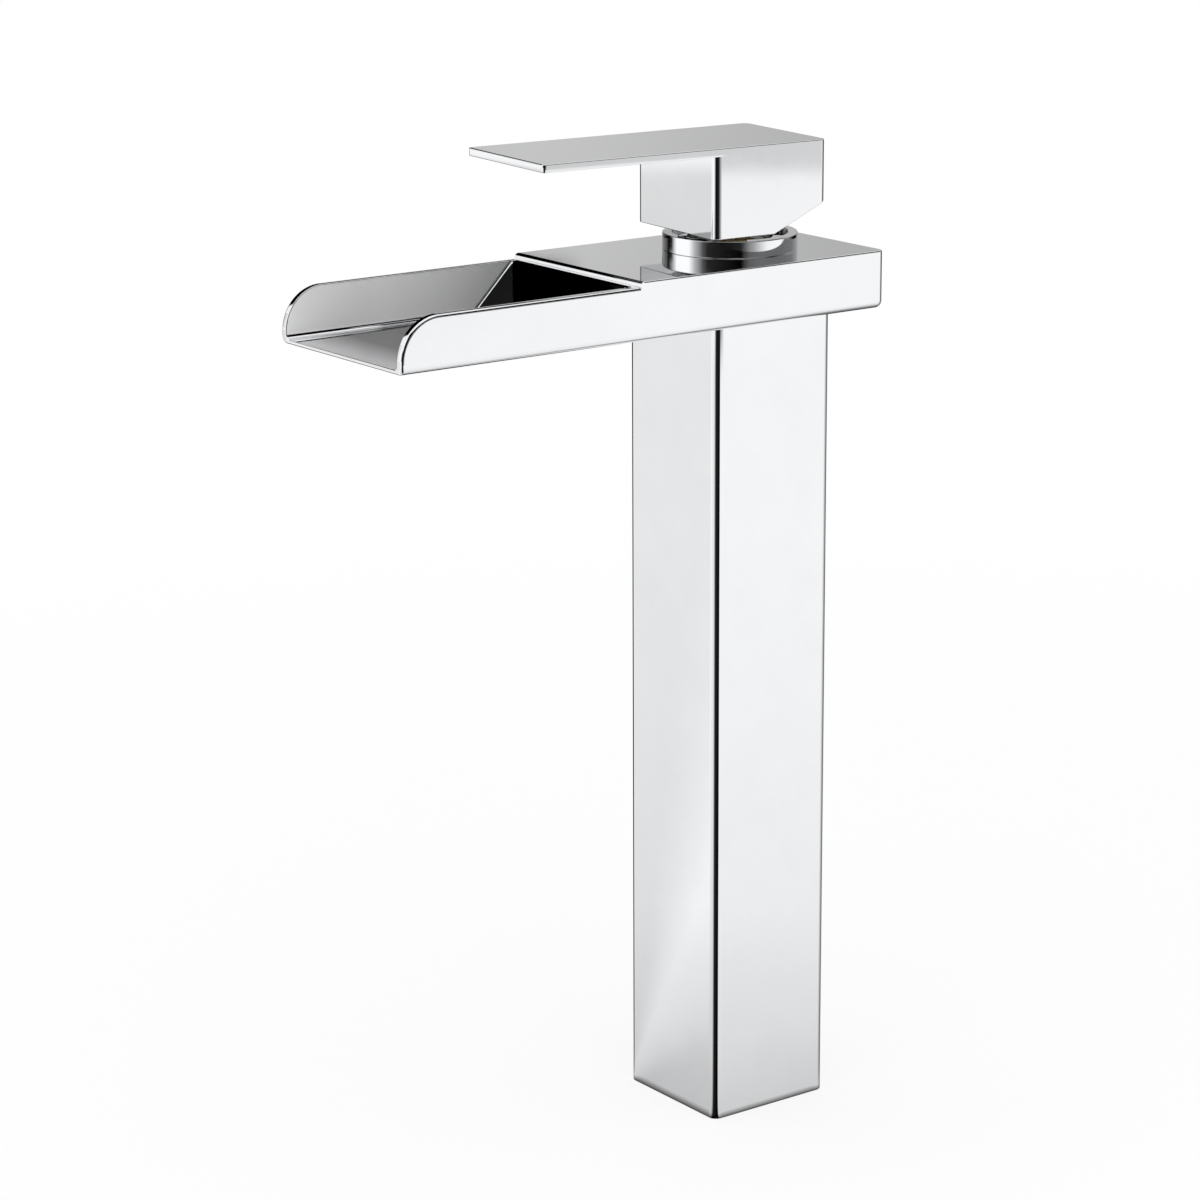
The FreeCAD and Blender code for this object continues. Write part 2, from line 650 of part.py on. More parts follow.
def set_screw():
    """Grub screw that bears on the spindle, with a hexagon socket in its rear end."""
    start = spindle_width / 2
    screw = Part.makeCylinder(screw_radius, screw_length, Vector(0, start, screw_z), BACK)
    screw = screw.makeChamfer(screw_chamfer, edges_where(screw, lambda p, e: near(p.y, start) and e.isClosed()))
    corner = key_width / 2 / math.cos(math.radians(30))
    end = start + screw_length
    points = [Vector(corner * math.cos(math.radians(60 * i)), end, screw_z + corner * math.sin(math.radians(60 * i)))
              for i in range(6)]
    return screw.cut(face_prism(points, Vector(0, -key_depth, 0)))


def index_plug():
    """Push-in plug over the set screw, slightly domed."""
    start = block_rear - plug_depth
    plug = Part.makeCylinder(plug_radius, plug_depth, Vector(0, start, screw_z), BACK)
    dome_radius_of_curve = (plug_radius ** 2 + plug_dome ** 2) / (2 * plug_dome)
    ball = Part.makeSphere(dome_radius_of_curve, Vector(0, block_rear + plug_dome - dome_radius_of_curve, screw_z))
    cap = Part.makeCylinder(plug_radius, plug_dome, Vector(0, block_rear, screw_z), BACK)
    return plug.fuse(cap.common(ball))


# ---------------------------------------------------------------- export
TURNING = ("spindle_sleeve", "pivot_pin", "disc_carrier", "moving_disc", "spindle", "handle", "set_screw", "index_plug")
PIECES = {
    "column_shell": column_shell,
    "foot_plate": foot_plate,
    "foot_seal": foot_seal,
    "spout_channel": spout_channel,
    "cover_plate": cover_plate,
    "weir_plate": weir_plate,
    "valve_body": valve_body,
    "cartridge_base": cartridge_base,
    "hot_port_seal": lambda: port_seal(inlet_place(-1)),
    "cold_port_seal": lambda: port_seal(inlet_place(1)),
    "outlet_port_seal": lambda: port_seal(OUTLET),
    "fixed_disc": fixed_disc,
    "moving_disc": moving_disc,
    "disc_carrier": disc_carrier,
    "cartridge_housing": cartridge_housing,
    "spindle_sleeve": spindle_sleeve,
    "pivot_pin": pivot_pin,
    "spindle": spindle,
    "retaining_nut": retaining_nut,
    "grip_ring": grip_ring,
    "bonnet_ring": bonnet_ring,
    "handle": handle,
    "set_screw": set_screw,
    "index_plug": index_plug,
}


def main():
    """Builds every piece and writes one STEP file for each."""
    os.makedirs("parts", exist_ok=True)
    for name, make in PIECES.items():
        shape = make()
        if name in TURNING:
            shape.rotate(Vector(0, 0, 0), UP, lever_rest_turn)
        if not shape.isValid():
            raise ValueError(name + " is not a valid shape")
        solid = shape.Solids[0] if len(shape.Solids) == 1 else Part.makeCompound(shape.Solids)
        solid.exportStep("parts/" + name + ".step")
        print(name, len(shape.Solids), "solid(s)", round(shape.Volume / 1000, 3), "cm3")


main()
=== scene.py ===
# %% [markdown]
# # A waterfall basin mixer, dressed in Blender
# The tap is a tall square column with a flat box head. Water leaves the closed half of the head under
# a sloping plate and runs down an open trough. One lever on top turns and lifts. The measured frame of
# the tap is loaded first, so that every piece modelled here can be set exactly on it, in metres.

# %% Load the frame
import json
from math import cos, radians, sin, tan

import bmesh
import bpy
from mathutils import Matrix, Vector


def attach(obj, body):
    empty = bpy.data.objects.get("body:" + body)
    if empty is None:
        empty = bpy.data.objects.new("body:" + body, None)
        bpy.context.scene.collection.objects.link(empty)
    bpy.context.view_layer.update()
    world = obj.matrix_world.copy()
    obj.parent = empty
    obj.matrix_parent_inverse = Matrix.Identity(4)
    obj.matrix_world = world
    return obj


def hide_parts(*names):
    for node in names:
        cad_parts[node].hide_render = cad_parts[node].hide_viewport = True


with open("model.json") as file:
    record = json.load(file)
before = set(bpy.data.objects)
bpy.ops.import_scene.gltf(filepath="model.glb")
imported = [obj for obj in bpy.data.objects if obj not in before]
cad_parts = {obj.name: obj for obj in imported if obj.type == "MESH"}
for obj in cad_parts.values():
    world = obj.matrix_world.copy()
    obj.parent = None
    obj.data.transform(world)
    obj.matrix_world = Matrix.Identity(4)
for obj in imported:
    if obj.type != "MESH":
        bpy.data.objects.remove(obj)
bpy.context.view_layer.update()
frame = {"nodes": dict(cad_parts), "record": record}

mm = 0.001

# %% [markdown]
# ## Helpers for modelling by hand
# Blender's operators act on whatever is selected. Each helper therefore deselects everything first,
# and then picks edges or faces by where they lie, just as one would click them in the viewport.

# %% Select, add and shape
def only(piece):
    """Leaves edit mode and makes this piece the only selected and active one."""
    if bpy.context.mode != "OBJECT":
        bpy.ops.object.mode_set(mode="OBJECT")
    bpy.ops.object.select_all(action="DESELECT")
    bpy.context.view_layer.objects.active = piece
    piece.select_set(True)


def settle(piece):
    """Puts the piece's place, turn and size into its mesh."""
    only(piece)
    bpy.ops.object.transform_apply(location=True, rotation=True, scale=True)
    return piece


def add_block(name, low, high):
    """Adds a block between two corners given in millimetres."""
    low, high = Vector(low) * mm, Vector(high) * mm
    bpy.ops.object.select_all(action="DESELECT")
    bpy.ops.mesh.primitive_cube_add(size=1, location=(low + high) / 2, scale=high - low)
    bpy.context.object.name = name
    return settle(bpy.context.object)


def add_drum(name, radius, low, high, sides=128):
    """Adds an upright drum round the Z axis, between two heights given in millimetres."""
    bpy.ops.object.select_all(action="DESELECT")
    bpy.ops.mesh.primitive_cylinder_add(vertices=sides, radius=radius * mm, depth=(high - low) * mm,
                                        location=(0, 0, (low + high) / 2 * mm))
    bpy.context.object.name = name
    return settle(bpy.context.object)


def pick(piece, kind, test):
    """Goes into edit mode and selects the edges, faces or corners that pass the test."""
    only(piece)
    bpy.ops.object.mode_set(mode="EDIT")
    bpy.ops.mesh.select_mode(type=kind)
    bpy.ops.mesh.select_all(action="DESELECT")
    mesh = bmesh.from_edit_mesh(piece.data)
    found = [part for part in {"VERT": mesh.verts, "EDGE": mesh.edges, "FACE": mesh.faces}[kind] if test(part)]
    for part in found:
        part.select_set(True)
    mesh.select_flush_mode()
    bmesh.update_edit_mesh(piece.data)
    return len(found)


def middle(part):
    """Middle of an edge or a face, in millimetres."""
    if isinstance(part, bmesh.types.BMFace):
        return part.calc_center_median() / mm
    return (part.verts[0].co + part.verts[1].co) / 2 / mm


def same(a, b, slack=0.02):
    """True if two lengths in millimetres agree."""
    return abs(a - b) < slack


def runs(edge, axis):
    """True if the edge lies along the axis named x, y or z."""
    direction = (edge.verts[1].co - edge.verts[0].co).normalized()
    return abs(getattr(direction, axis)) > 0.9


def sharp(edge, angle=60):
    """True if two faces meet here and turn by more than this many degrees."""
    return len(edge.link_faces) == 2 and edge.calc_face_angle() > radians(angle)


# %% Round, slice, carve and smooth
def round_edges(piece, radius, segments, test):
    """Rounds the edges that pass the test, and gives their number."""
    count = pick(piece, "EDGE", test)
    bpy.ops.mesh.bevel(offset=radius * mm, segments=segments, profile=0.5, affect="EDGES", clamp_overlap=False)
    bpy.ops.object.mode_set(mode="OBJECT")
    return count


def slice_at(piece, point, normal, **cut):
    """Cuts a line where a plane crosses the piece, in millimetres. Settings can take one side away too."""
    pick(piece, "FACE", lambda face: True)
    bpy.ops.mesh.bisect(plane_co=Vector(point) * mm, plane_no=normal, **cut)
    bpy.ops.object.mode_set(mode="OBJECT")


def carve(piece, tool, operation="DIFFERENCE"):
    """Cuts the tool's shape out of the piece, or joins it on, and deletes the tool."""
    only(piece)
    cut = piece.modifiers.new("carve", "BOOLEAN")
    cut.operation, cut.solver, cut.object = operation, "EXACT", tool
    bpy.ops.object.modifier_apply(modifier=cut.name)
    bpy.data.objects.remove(tool)


def finish_shading(piece, angle=32):
    """Smooths the rounded edges and keeps the flats truly flat, as polished metal shows every error."""
    only(piece)
    bpy.ops.object.shade_smooth_by_angle(angle=radians(angle))
    flats = piece.modifiers.new("flat_faces", "WEIGHTED_NORMAL")
    flats.keep_sharp, flats.weight = True, 100
    bpy.ops.object.modifier_apply(modifier=flats.name)
    print(piece.name, len(piece.data.polygons), "faces")

# %% [markdown]
# ## The column
# The real column is a length of square brass tube. A cube gives the outside. Both ends are inset by the
# wall and bridged, which turns the cube into a tube in one step. Only then are the long edges rounded,
# because an inset that is wider than a rounding would fold over itself.

# %% Column
column_half, column_wall, column_height = 23.4, 3.4, 268.4
column_round, foot_round = 3.0, 0.3
column = add_block("column", (-column_half, -column_half, 0), (column_half, column_half, column_height))
pick(column, "FACE", lambda face: abs(face.normal.z) > 0.9)
bpy.ops.mesh.inset(thickness=column_wall * mm, use_individual=True)
bpy.ops.mesh.bridge_edge_loops()
round_edges(column, column_round, 14, lambda edge: runs(edge, "z") and same(abs(middle(edge).x), column_half)
            and same(abs(middle(edge).y), column_half))
round_edges(column, foot_round, 3, lambda edge: same(middle(edge).z, 0) and sharp(edge)
            and max(abs(middle(edge).x), abs(middle(edge).y)) > column_half - 1)
finish_shading(column)

# %% [markdown]
# ## The head's channel
# The head is a shallow box without a lid, open in front. A flat slab is sliced along the inside of its
# walls, and the outer strips are extruded upwards. Over the column, the slab's two sides are bridged, which
# opens it for the valve body. The trough's side walls get their big round nose from one wide bevel, and the
# small bevels follow from large to small, so that each runs over the last.

# %% Channel: slab and walls
head_half, head_wall, head_front, head_rear = 33.5, 2.8, -148.3, 37.0
head_low, head_floor, wall_top = 268.4, 269.8, 285.5
inner_half, inner_rear = head_half - head_wall, head_rear - head_wall
opening_half, rim_end, rim_stop = column_half - column_wall, -60.8, -60.5
channel = add_block("spout_channel_shell", (-head_half, head_front, head_low),
                    (head_half, head_rear, head_floor))
for x in (-inner_half, inner_half, -opening_half, opening_half):
    slice_at(channel, (x, 0, 0), (1, 0, 0))
for y in (inner_rear, rim_end, rim_stop, -opening_half, opening_half):
    slice_at(channel, (0, y, 0), (0, 1, 0))
pick(channel, "FACE", lambda face: face.normal.z > 0.9
     and (abs(middle(face).x) > inner_half or middle(face).y > inner_rear))
bpy.ops.mesh.extrude_region_move(TRANSFORM_OT_translate={"value": (0, 0, (wall_top - head_floor) * mm)})
pick(channel, "FACE", lambda face: abs(face.normal.z) > 0.9
     and max(abs(middle(face).x), abs(middle(face).y)) < opening_half - 1)
bpy.ops.mesh.bridge_edge_loops()

# %% [markdown]
# The walls left a line round the outside at the floor's height, and the slices left one under each wall. The
# lower rounding is taller than the floor is thick, and a bevel that runs over or into such a line folds back
# on itself, so these lines are dissolved first.

# %% Channel: spare lines
def spare_line(edge):
    """The outer line at the floor's height, and the slice's line on the underside and on both ends."""
    p = middle(edge)
    outside_wall = same(abs(p.x), head_half) or same(p.y, head_rear)
    front_of_wall = same(p.y, head_front) and abs(p.x) > inner_half + 0.1
    under_wall = same(abs(p.x), inner_half) and p.z < head_floor - 0.1
    return under_wall or (same(p.z, head_floor) and (outside_wall or front_of_wall))


pick(channel, "EDGE", spare_line)
bpy.ops.mesh.dissolve_edges(use_verts=True)
bpy.ops.object.mode_set(mode="OBJECT")

# %% Channel: rounding
nose_round, outer_round, trough_round, rim_round, waterside_round = 13.5, 2.5, 1.8, 0.95, 0.3
round_edges(channel, nose_round, 20, lambda edge: runs(edge, "x") and same(middle(edge).y, head_front)
            and same(middle(edge).z, wall_top))


def outer_corner(edge):
    """The long lower edges, and the upright and lower edges of the rear."""
    p = middle(edge)
    low, side, rear = same(p.z, head_low), same(abs(p.x), head_half), same(p.y, head_rear)
    return (low and side and runs(edge, "y")) or (rear and (low or side) and not runs(edge, "y"))


round_edges(channel, outer_round, 10, outer_corner)
round_edges(channel, trough_round, 8, lambda edge: runs(edge, "y") and same(middle(edge).z, head_floor)
            and same(abs(middle(edge).x), inner_half))


def on_rim(edge):
    """Every sharp outer edge of the open trough."""
    return sharp(edge, 40) and edge.is_convex and middle(edge).y < rim_end - 0.1


def outside(edge):
    """The rim's outer edge, as against the one beside the water."""
    return abs(middle(edge).x) > head_half - head_wall / 2 or middle(edge).z < (head_low + head_floor) / 2


outer_count = round_edges(channel, rim_round, 7, lambda edge: on_rim(edge) and outside(edge))
inner_count = round_edges(channel, waterside_round, 3, lambda edge: on_rim(edge) and not outside(edge))
print("rim edges:", outer_count, "outside and", inner_count, "beside the water")
pick(channel, "EDGE", lambda edge: rim_end - 0.05 < middle(edge).y < rim_stop + 0.05)
bpy.ops.mesh.mark_sharp()
bpy.ops.object.mode_set(mode="OBJECT")
finish_shading(channel)

# %% [markdown]
# ## The cover plate
# The cover lies on the walls, flush with them, and its front edge rolls down to the trough in a quarter
# round of nearly its own thickness. The hole for the valve is cut with a drum.

# %% Cover plate
cover_top, lip_front, lip_round, cover_round, valve_hole = 287.2, -61.0, 1.65, 0.45, 19.8
cover = add_block("cover_plate_shell", (-head_half, lip_front, wall_top), (head_half, head_rear, cover_top))
round_edges(cover, outer_round, 10, lambda edge: runs(edge, "z") and same(middle(edge).y, head_rear))
round_edges(cover, lip_round, 14, lambda edge: runs(edge, "x") and same(middle(edge).y, lip_front)
            and same(middle(edge).z, cover_top))
round_edges(cover, cover_round, 4, lambda edge: same(middle(edge).z, cover_top) and sharp(edge)
            and middle(edge).y > lip_front + 0.9)
carve(cover, add_drum("hole_tool", valve_hole, wall_top - 2, cover_top + 2))
finish_shading(cover)

# %% [markdown]
# ## The sloping weir plate
# A bent strip closes the box under the lip and leaves a slit at the floor. It starts as a flat plane, whose
# front edge is extruded down the slope. A bevel on the crease makes the bend, and Solidify gives the sheet
# its thickness. Solidify ends a sheet square to itself, so the foot is made too long and then cut level.

# %% Weir plate
weir_half, weir_rear, crease_y, slope_run = 30.6, -52.0, -63.66, 16.5
weir_sheet, weir_angle, bend_radius, slit_top = 1.5, 45.0, 4.0, 271.2
bpy.ops.object.select_all(action="DESELECT")
bpy.ops.mesh.primitive_plane_add(size=1, location=(0, (weir_rear + crease_y) / 2 * mm, wall_top * mm))
weir = bpy.context.object
weir.name = "weir_plate_sheet"
weir.scale = (2 * weir_half * mm, (weir_rear - crease_y) * mm, 1)
settle(weir)
pick(weir, "EDGE", lambda edge: same(middle(edge).y, crease_y))
bpy.ops.mesh.extrude_edges_move(TRANSFORM_OT_translate={"value": (0, -slope_run * mm, -slope_run * mm)})
round_edges(weir, bend_radius * tan(radians(weir_angle / 2)), 10,
            lambda edge: same(middle(edge).y, crease_y) and len(edge.link_faces) == 2)
pick(weir, "FACE", lambda face: True)
bpy.ops.mesh.normals_make_consistent(inside=False)
bpy.ops.object.mode_set(mode="OBJECT")
if weir.data.polygons[0].normal.z < 0:
    weir.data.flip_normals()
sheet = weir.modifiers.new("thickness", "SOLIDIFY")
sheet.thickness, sheet.offset, sheet.use_even_offset = weir_sheet * mm, -1, True
bpy.ops.object.modifier_apply(modifier=sheet.name)
slice_at(weir, (0, 0, slit_top), (0, 0, 1), clear_inner=True, use_fill=True)

# %% [markdown]
# The plate is soldered to the side walls, and the solder's small hollow rounding shows as a fine line along
# each side. A quarter of a circle is closed to a corner, drawn out to a strip, mirrored and tilted. The strips
# reach a little way into the plate, so that the union finds no two faces in one plane.

# %% Weir plate: solder beads
bead_radius, bead_length, bead_start_y, bead_start_z = 0.95, 22.0, -64.065, 285.025
bead_play = 0.02
bead_x = inner_half - bead_play - bead_radius
bpy.ops.object.select_all(action="DESELECT")
bpy.ops.mesh.primitive_circle_add(vertices=64, radius=bead_radius * mm, rotation=(radians(90), 0, 0),
                                  location=(bead_x * mm, 0, bead_radius * mm))
bead = settle(bpy.context.object)
pick(bead, "VERT", lambda corner: corner.co.x / mm < bead_x - 0.001 or corner.co.z / mm > bead_radius + 0.001)
bpy.ops.mesh.delete(type="VERT")
pick(bead, "VERT", lambda corner: same(corner.co.x / mm, bead_x, 0.001))
bpy.ops.mesh.extrude_vertices_move(TRANSFORM_OT_translate={"value": (bead_radius * mm, 0, 0)})
bpy.ops.mesh.select_all(action="SELECT")
bpy.ops.mesh.edge_face_add()
bpy.ops.mesh.extrude_region_move(TRANSFORM_OT_translate={"value": (0, -bead_length * mm, 0)})
bpy.ops.object.mode_set(mode="OBJECT")
other_side = bead.modifiers.new("other_side", "MIRROR")
bpy.ops.object.modifier_apply(modifier=other_side.name)
bead.rotation_euler, bead.location = (radians(weir_angle), 0, 0), (0, bead_start_y * mm, bead_start_z * mm)
settle(bead)
pick(bead, "FACE", lambda face: True)
bpy.ops.mesh.normals_make_consistent(inside=False)
slice_at(bead, (0, 0, slit_top), (0, 0, 1), clear_inner=True, use_fill=True)
carve(weir, bead, "UNION")
finish_shading(weir)

# %% [markdown]
# ## The bonnet ring
# A plain turned ring hides the nut that holds the cartridge. A drum's two ends are inset and bridged, as the
# column's were, and its rims get a small rounding.

# %% Bonnet ring
ring_outer, ring_wall, ring_top, ring_round, ring_foot_round = 21.8, 3.2, 292.7, 0.35, 0.3
ring = add_drum("bonnet_ring_turned", ring_outer, cover_top, ring_top, sides=192)
pick(ring, "FACE", lambda face: abs(face.normal.z) > 0.9)
bpy.ops.mesh.inset(thickness=ring_wall * mm, use_individual=True)
bpy.ops.mesh.bridge_edge_loops()
round_edges(ring, ring_round, 4, lambda edge: same(middle(edge).z, ring_top, 0.01) and sharp(edge))
round_edges(ring, ring_foot_round, 4, lambda edge: same(middle(edge).z, cover_top, 0.01) and sharp(edge)
            and middle(edge).xy.length > ring_outer - 1)
finish_shading(ring)

# %% [markdown]
# ## The handle
# Block and lever are one casting with flush sides. The block's four upright edges are rounded first, and a
# slab for the lever, which runs on into the block, is then joined to it. Both are made too tall and cut level
# together, which leaves one clean top. The rear of the block's underside is pulled up, which gives the
# slanted relief that clears the ring when the lever is lifted.

# %% Handle: block, lever and relief
block_half, block_front, block_rear = 22.8, -20.8, 21.7
handle_low, handle_top, lever_low, lever_tip = 294.5, 323.3, 320.7, -83.4
block_spare, lever_spare, relief_y, relief_angle = 3, 1, 1.7, 24.8
relief_rise = (block_rear - relief_y) * tan(radians(relief_angle))
handle = add_block("handle_casting", (-block_half, block_front, handle_low),
                   (block_half, block_rear, handle_top + block_spare))
slice_at(handle, (0, relief_y, 0), (0, 1, 0))
pick(handle, "EDGE", lambda edge: same(middle(edge).y, block_rear) and same(middle(edge).z, handle_low))
bpy.ops.transform.translate(value=(0, 0, relief_rise * mm))
bpy.ops.object.mode_set(mode="OBJECT")

# %% Handle: rounding
block_round, tip_round, handle_rim_round = 2.5, 1.1, 0.3
round_edges(handle, block_round, 12, lambda edge: runs(edge, "z") and same(abs(middle(edge).x), block_half)
            and (same(middle(edge).y, block_rear) or same(middle(edge).y, block_front)))
lever = add_block("lever_slab", (-block_half, lever_tip, lever_low), (block_half, 0, handle_top + lever_spare))
carve(handle, lever, "UNION")
slice_at(handle, (0, 0, handle_top), (0, 0, 1), clear_outer=True, use_fill=True)
round_edges(handle, tip_round, 8, lambda edge: runs(edge, "z") and same(middle(edge).y, lever_tip))
rim_count = round_edges(handle, handle_rim_round, 4, lambda edge: sharp(edge, 40) and edge.is_convex)
print("handle rims:", rim_count)

# %% [markdown]
# The block is hollow underneath, where the nut and the cartridge's sleeve stand up into it. The hollow's
# tool is a drum with the screw boss taken out of it, so that one cut leaves the boss standing.

# %% Handle: hollow, boss and screw hole
hollow_radius, hollow_top, boss_radius, boss_low = 16.8, 314.3, 8.0, 297.0
socket_half, socket_top, screw_radius, screw_floor, screw_height = 4.05, 314.0, 3.25, 18.7, 309.0
below, beyond = handle_low - 15, 40
hollow = add_drum("hollow_tool", hollow_radius, below, hollow_top)
carve(hollow, add_drum("boss_tool", boss_radius, boss_low, handle_top + block_spare, sides=64))
carve(handle, hollow)
carve(handle, add_block("socket_tool", (-socket_half, -socket_half, below),
                        (socket_half, socket_half, socket_top)))
screw_hole = add_drum("screw_tool", screw_radius, screw_floor, beyond, sides=48)
screw_hole.rotation_euler, screw_hole.location = (radians(-90), 0, 0), (0, 0, screw_height * mm)
carve(handle, settle(screw_hole))

# %% Handle: turned as photographed
lever_rest_turn = -4.3
handle.rotation_euler = (0, 0, radians(lever_rest_turn))
settle(handle)
finish_shading(handle, angle=24)

# %% [markdown]
# ## Each piece takes its node's place
# A piece rides on the body that moves it, and the measured node that it stands for is hidden.

# %% Ride and replace
CHROME_PIECES = {column: "column_shell", channel: "spout_channel", cover: "cover_plate", weir: "weir_plate",
                 ring: "bonnet_ring", handle: "handle"}
for piece, node in CHROME_PIECES.items():
    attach(piece, "lever" if node == "handle" else "body")
    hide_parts(node)
print("replaced:", sorted(CHROME_PIECES.values()))

# %% [markdown]
# ## Helpers for materials
# A material is a small graph. A few helpers keep it short to write: they add a node with its settings and its
# inputs, do one step of sums, or start a node group with named sockets. An effect that several finishes share
# is built once as a group, and each finish gives it other numbers.

# %% Add nodes
def feed(tree, socket, value):
    """Links an output to a socket, or sets the socket to a plain value."""
    if isinstance(value, bpy.types.NodeSocket):
        tree.links.new(value, socket)
    else:
        socket.default_value = value


def add_node(tree, kind, settings=None, **inputs):
    """Adds a node. An input is named here by its label, and takes a value or another node's output."""
    made = tree.nodes.new(kind)
    for name, value in (settings or {}).items():
        setattr(made, name, value)
    for label, value in inputs.items():
        feed(tree, made.inputs[label.replace("_", " ")], value)
    return made


def work_out(tree, operation, *values, kind="ShaderNodeMath"):
    """Adds a Math or Vector Math node, fed by numbers or outputs, and gives its result."""
    made = add_node(tree, kind, {"operation": operation})
    for socket, value in zip(made.inputs, values):
        feed(tree, socket, value)
    return made.outputs["Vector" if kind == "ShaderNodeVectorMath" and operation != "LENGTH" else "Value"]


# %% Start groups and materials
def start_group(name, inputs, outputs):
    """Starts a group whose inputs have usual values and whose outputs are plain numbers."""
    tree = bpy.data.node_groups.new(name, "ShaderNodeTree")
    tree.interface.new_socket("Vector", in_out="INPUT", socket_type="NodeSocketVector")
    for label, usual in inputs.items():
        tree.interface.new_socket(label, in_out="INPUT", socket_type="NodeSocketFloat").default_value = usual
    for label in outputs:
        tree.interface.new_socket(label, in_out="OUTPUT", socket_type="NodeSocketFloat")
    return tree, add_node(tree, "NodeGroupInput").outputs, add_node(tree, "NodeGroupOutput").inputs


def use_group(tree, name, **inputs):
    """Places a group in a material."""
    return add_node(tree, "ShaderNodeGroup", {"node_tree": bpy.data.node_groups[name]}, **inputs)


def start_material(name, **constants):
    """Starts a material and gives its tree, its shader and its Object coordinates."""
    material = bpy.data.materials.new(name)
    material.use_nodes = True
    tree = material.node_tree
    shader = tree.nodes["Principled BSDF"]
    for label, value in constants.items():
        shader.inputs[label.replace("_", " ")].default_value = value
    return material, tree, shader, add_node(tree, "ShaderNodeTexCoord").outputs["Object"]


def shade_between(tree, mask, dark, light, shader):
    """Varies the base colour between two near tones by a mask."""
    ramp = add_node(tree, "ShaderNodeValToRGB", Fac=mask)
    ramp.color_ramp.elements[0].color, ramp.color_ramp.elements[1].color = (*dark, 1), (*light, 1)
    tree.links.new(ramp.outputs["Color"], shader.inputs["Base Color"])


def raise_surface(tree, shader, *layers):
    """Feeds Bump nodes, one on the other, into Normal. A layer is a height and its depth in millimetres."""
    normal = None
    for height, depth in layers:
        bump = add_node(tree, "ShaderNodeBump", Height=height, Distance=depth * mm)
        if normal:
            tree.links.new(normal, bump.inputs["Normal"])
        normal = bump.outputs["Normal"]
    tree.links.new(normal, shader.inputs["Normal"])

# %% [markdown]
# ## Effects that finishes share
# Even a new polished tap is not a perfect mirror. The buffing wheel leaves very long, shallow waves, wiping
# leaves hairlines, and thin films leave the gloss a little uneven. Turned brass has fine rings, and moulded
# plastic and rubber take the grain of their mould. The sizes are given in millimetres, and each group turns
# them into a scale, because Object coordinates are in metres.

# %% Group: uneven gloss
tree, given, result = start_group("Uneven_Gloss", {"Patch mm": 9.0, "Smooth": 0.03, "Hazy": 0.06},
                                  ["Roughness", "Mask"])
fineness = work_out(tree, "DIVIDE", 1000.0, given["Patch mm"])
clouds = add_node(tree, "ShaderNodeTexNoise", Vector=given["Vector"], Scale=fineness, Detail=4.0, Roughness=0.6)
mask = add_node(tree, "ShaderNodeMapRange", Value=clouds.outputs[0], From_Min=0.35, From_Max=0.65)
gloss = add_node(tree, "ShaderNodeMapRange", Value=mask.outputs[0],
                 To_Min=given["Smooth"], To_Max=given["Hazy"])
tree.links.new(gloss.outputs[0], result["Roughness"])
tree.links.new(mask.outputs[0], result["Mask"])

# %% Group: buffing waves
tree, given, result = start_group("Buffing_Waves", {"Wave mm": 22.0}, ["Height"])
fineness = work_out(tree, "DIVIDE", 1000.0, given["Wave mm"])
swell = add_node(tree, "ShaderNodeTexNoise", Vector=given["Vector"], Scale=fineness, Detail=0.0)
tree.links.new(swell.outputs[0], result["Height"])

# %% Group: wiping hairlines
tree, given, result = start_group("Wiping_Hairlines", {"Line mm": 0.25, "Amount": 0.5}, ["Height", "Mask"])
fineness = work_out(tree, "DIVIDE", 1000.0, given["Line mm"])
lines = []
for turn, stretch in ((25, (1, 0.03, 0.03)), (-50, (0.03, 0.03, 1))):
    laid = add_node(tree, "ShaderNodeMapping", Vector=given["Vector"], Scale=stretch,
                    Rotation=(radians(turn), radians(turn / 2), radians(turn)))
    grain = add_node(tree, "ShaderNodeTexNoise", Vector=laid.outputs[0], Scale=fineness, Detail=2.0)
    thin = add_node(tree, "ShaderNodeMapRange", Value=grain.outputs[0], From_Min=0.62, From_Max=0.75)
    lines.append(thin.outputs[0])
both = work_out(tree, "MULTIPLY", work_out(tree, "MAXIMUM", *lines), given["Amount"])
tree.links.new(both, result["Mask"])
tree.links.new(work_out(tree, "SUBTRACT", 1.0, both), result["Height"])

# %% [markdown]
# A Wave texture turns through 20 radians in one unit of its scale. The pitch below is the length of one
# radian, so that a full ring takes a little over six times as much.

# %% Group: turning rings
tree, given, result = start_group("Turning_Rings", {"Pitch mm": 0.3, "Wander": 0.4}, ["Height"])
wave_radians = 20
fineness = work_out(tree, "DIVIDE", 1000.0 / wave_radians, given["Pitch mm"])
rings = add_node(tree, "ShaderNodeTexWave", {"wave_type": "RINGS", "rings_direction": "Z"},
                 Vector=given["Vector"], Scale=fineness, Distortion=given["Wander"], Detail=1.0)
bands = add_node(tree, "ShaderNodeTexWave", {"bands_direction": "Z"},
                 Vector=given["Vector"], Scale=fineness, Distortion=given["Wander"], Detail=1.0)
tree.links.new(work_out(tree, "MULTIPLY", rings.outputs[1], bands.outputs[1]), result["Height"])

# %% Group: mould grain
tree, given, result = start_group("Mould_Grain", {"Grain mm": 0.35}, ["Height", "Mask"])
fineness = work_out(tree, "DIVIDE", 1000.0, given["Grain mm"])
pits = add_node(tree, "ShaderNodeTexVoronoi", Vector=given["Vector"], Scale=fineness)
drift = add_node(tree, "ShaderNodeTexNoise", Vector=given["Vector"], Scale=90.0, Detail=3.0)
tree.links.new(pits.outputs["Distance"], result["Height"])
tree.links.new(drift.outputs[0], result["Mask"])
print("shared effects:", sorted(group.name for group in bpy.data.node_groups))

# %% [markdown]
# ## Polished chrome
# Chrome plate is a mirror with a faint blue tone. Metallic is one, and the colour is what share of the light
# it gives back. Nearly all of its look is what it reflects, so the studio around it matters as much as this.

